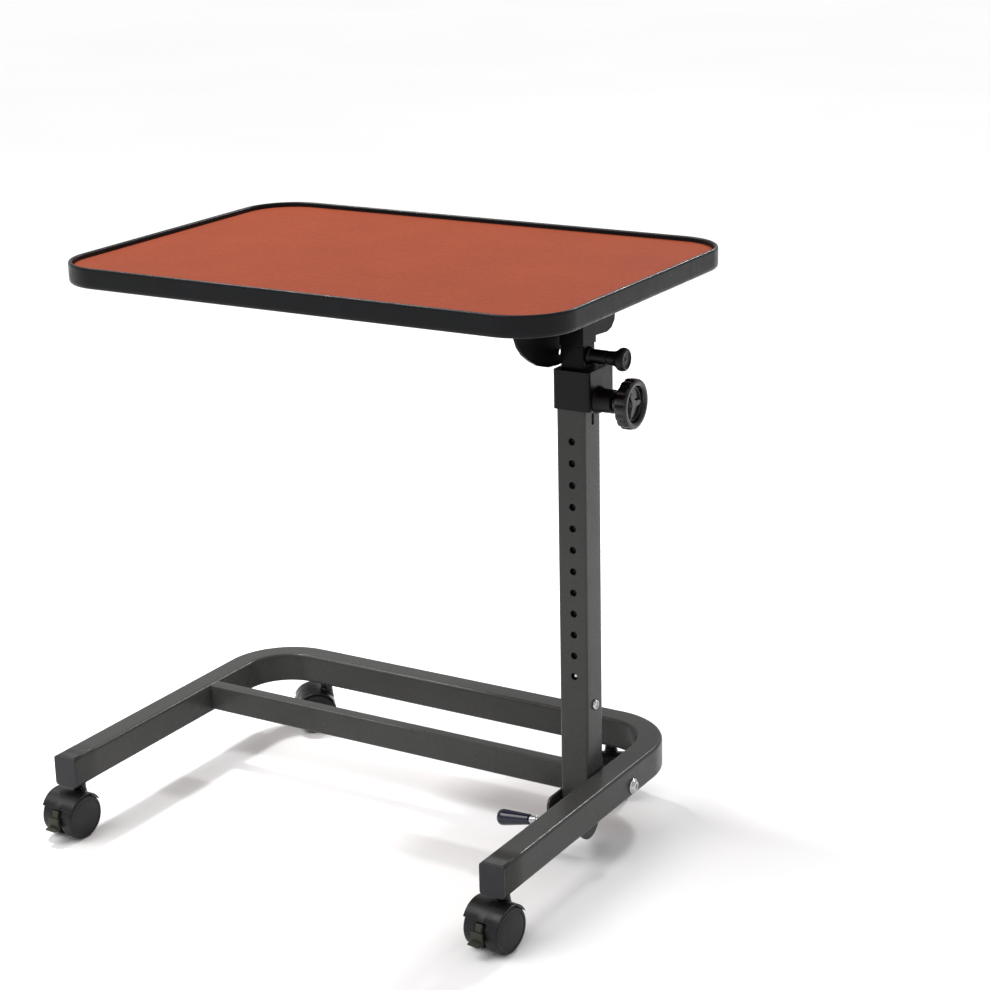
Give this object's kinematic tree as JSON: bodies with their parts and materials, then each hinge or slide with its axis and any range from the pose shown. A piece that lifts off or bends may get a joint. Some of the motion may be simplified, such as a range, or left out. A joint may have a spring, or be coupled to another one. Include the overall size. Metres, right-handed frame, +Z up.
{
  "type": "overbed table",
  "caption": "Wheeled overbed table with a U base, a telescopic corner column and a tilting rimmed top.",
  "frame": {"origin": "centre of the bounding box seen from above, at floor level", "axes": "+Z up, +X along the long side of the top towards the column, -Y towards the open front of the base"},
  "size_m": [0.6182, 0.4782, 0.6374],
  "materials": {
    "frame_coat": "satin",
    "cap_plastic": "matte",
    "chrome_hardware": "polished",
    "steel_hardware": "brushed",
    "black_plastic": "matte",
    "gloss_black": "gloss",
    "navy_plastic": "gloss",
    "black_satin": "satin",
    "rim_plastic": "matte",
    "clay_board": "matte",
    "castor_black": "matte",
    "tyre_black": "matte"
  },
  "bodies": {
    "base": {"base_frame": "frame_coat", "crossbar": "frame_coat", "end_cap_left": "cap_plastic", "end_cap_right": "cap_plastic", "foot_bracket": "frame_coat", "leg_bolt": "chrome_hardware", "leg_nut": "steel_hardware", "lever_bolt": "steel_hardware", "post": "frame_coat", "post_screw": "chrome_hardware", "collar": "black_plastic", "castor_fl_stem": "steel_hardware", "castor_fr_stem": "steel_hardware", "castor_rl_stem": "steel_hardware", "castor_rr_stem": "steel_hardware"},
    "release_lever": {"lever_hub": "black_plastic", "lever_stem": "chrome_hardware", "lever_grip": "navy_plastic"},
    "clamp": {"clamp_knob": "gloss_black", "clamp_stud": "steel_hardware"},
    "inner_column": {"inner_tube": "black_satin", "tilt_head": "black_satin", "tilt_axle": "steel_hardware", "pin_housing": "black_plastic"},
    "pull_pin_body": {"pull_pin": "black_plastic"},
    "height_button": {"snap_button": "chrome_hardware"},
    "table_top_body": {"tilt_bracket": "black_satin", "rim": "rim_plastic", "panel": "clay_board", "bracket_screw_1": "steel_hardware", "bracket_screw_2": "steel_hardware", "bracket_screw_3": "steel_hardware", "bracket_screw_4": "steel_hardware"},
    "castor_fl": {"castor_fl_hood": "castor_black", "castor_fl_axle": "steel_hardware"},
    "castor_fl_wheel_a_body": {"castor_fl_wheel_a": "tyre_black"},
    "castor_fl_wheel_b_body": {"castor_fl_wheel_b": "tyre_black"},
    "castor_fl_brake_body": {"castor_fl_brake": "castor_black"},
    "castor_fr": {"castor_fr_hood": "castor_black", "castor_fr_axle": "steel_hardware"},
    "castor_fr_wheel_a_body": {"castor_fr_wheel_a": "tyre_black"},
    "castor_fr_wheel_b_body": {"castor_fr_wheel_b": "tyre_black"},
    "castor_fr_brake_body": {"castor_fr_brake": "castor_black"},
    "castor_rl": {"castor_rl_hood": "castor_black", "castor_rl_axle": "steel_hardware"},
    "castor_rl_wheel_a_body": {"castor_rl_wheel_a": "tyre_black"},
    "castor_rl_wheel_b_body": {"castor_rl_wheel_b": "tyre_black"},
    "castor_rr": {"castor_rr_hood": "castor_black", "castor_rr_axle": "steel_hardware"},
    "castor_rr_wheel_a_body": {"castor_rr_wheel_a": "tyre_black"},
    "castor_rr_wheel_b_body": {"castor_rr_wheel_b": "tyre_black"}
  },
  "joints": [
    {"name": "height_slide", "type": "slide", "parent": "base", "child": "inner_column", "axis": [0, 0, 1], "range_m": [0, 0.2574]},
    {"name": "top_tilt", "type": "hinge", "parent": "inner_column", "child": "table_top_body", "pos_m": [0.21912, 0.03414, 0.592], "axis": [-1, 0, 0], "range_deg": [0, 60]},
    {"name": "pull_pin_slide", "type": "slide", "parent": "inner_column", "child": "pull_pin_body", "axis": [1, 0, 0], "range_m": [0, 0.009], "stiffness_N_per_m": 600, "springref_m": -0.006},
    {"name": "height_button_slide", "type": "slide", "parent": "inner_column", "child": "height_button", "axis": [0, 1, 0], "range_m": [0, 0.004], "stiffness_N_per_m": 500, "springref_m": -0.004},
    {"name": "clamp_turn", "type": "hinge", "parent": "base", "child": "clamp", "pos_m": [0.28412, 0.03414, 0.506], "axis": [1, 0, 0], "continuous": true},
    {"name": "lever_turn", "type": "hinge", "parent": "base", "child": "release_lever", "pos_m": [0.22112, -0.01586, 0.0505], "axis": [0, 1, 0], "range_deg": [0, 60]},
    {"name": "castor_fl_swivel", "type": "hinge", "parent": "base", "child": "castor_fl", "pos_m": [-0.28523, -0.18786, 0.05], "axis": [0, 0, 1], "continuous": true},
    {"name": "castor_fl_roll_a", "type": "hinge", "parent": "castor_fl", "child": "castor_fl_wheel_a_body", "pos_m": [-0.29949, -0.20214, 0.025], "axis": [0.9986, -0.0523, 0], "continuous": true},
    {"name": "castor_fl_roll_b", "type": "hinge", "parent": "castor_fl", "child": "castor_fl_wheel_b_body", "pos_m": [-0.27253, -0.20355, 0.025], "axis": [0.9986, -0.0523, 0], "continuous": true},
    {"name": "castor_fl_brake_press", "type": "hinge", "parent": "castor_fl", "child": "castor_fl_brake_body", "pos_m": [-0.28724, -0.22631, 0.034], "axis": [0.9986, -0.0523, 0], "range_deg": [0, 4]},
    {"name": "castor_fr_swivel", "type": "hinge", "parent": "base", "child": "castor_fr", "pos_m": [0.26047, -0.18786, 0.05], "axis": [0, 0, 1], "continuous": true},
    {"name": "castor_fr_roll_a", "type": "hinge", "parent": "castor_fr", "child": "castor_fr_wheel_a_body", "pos_m": [0.24525, -0.20111, 0.025], "axis": [0.9925, -0.1219, 0], "continuous": true},
    {"name": "castor_fr_roll_b", "type": "hinge", "parent": "castor_fr", "child": "castor_fr_wheel_b_body", "pos_m": [0.27204, -0.2044, 0.025], "axis": [0.9925, -0.1219, 0], "continuous": true},
    {"name": "castor_fr_brake_press", "type": "hinge", "parent": "castor_fr", "child": "castor_fr_brake_body", "pos_m": [0.25578, -0.22608, 0.034], "axis": [0.9925, -0.1219, 0], "range_deg": [0, 4]},
    {"name": "castor_rl_swivel", "type": "hinge", "parent": "base", "child": "castor_rl", "pos_m": [-0.20688, 0.18039, 0.05], "axis": [0, 0, 1], "continuous": true},
    {"name": "castor_rl_roll_a", "type": "hinge", "parent": "castor_rl", "child": "castor_rl_wheel_a_body", "pos_m": [-0.22704, 0.18109, 0.025], "axis": [0.6428, -0.766, 0], "continuous": true},
    {"name": "castor_rl_roll_b", "type": "hinge", "parent": "castor_rl", "child": "castor_rl_wheel_b_body", "pos_m": [-0.20969, 0.1604, 0.025], "axis": [0.6428, -0.766, 0], "continuous": true},
    {"name": "castor_rr_swivel", "type": "hinge", "parent": "base", "child": "castor_rr", "pos_m": [0.18612, 0.18039, 0.05], "axis": [0, 0, 1], "continuous": true},
    {"name": "castor_rr_roll_a", "type": "hinge", "parent": "castor_rr", "child": "castor_rr_wheel_a_body", "pos_m": [0.18023, 0.16109, 0.025], "axis": [0.9063, 0.4226, 0], "continuous": true},
    {"name": "castor_rr_roll_b", "type": "hinge", "parent": "castor_rr", "child": "castor_rr_wheel_b_body", "pos_m": [0.2047, 0.1725, 0.025], "axis": [0.9063, 0.4226, 0], "continuous": true}
  ]
}
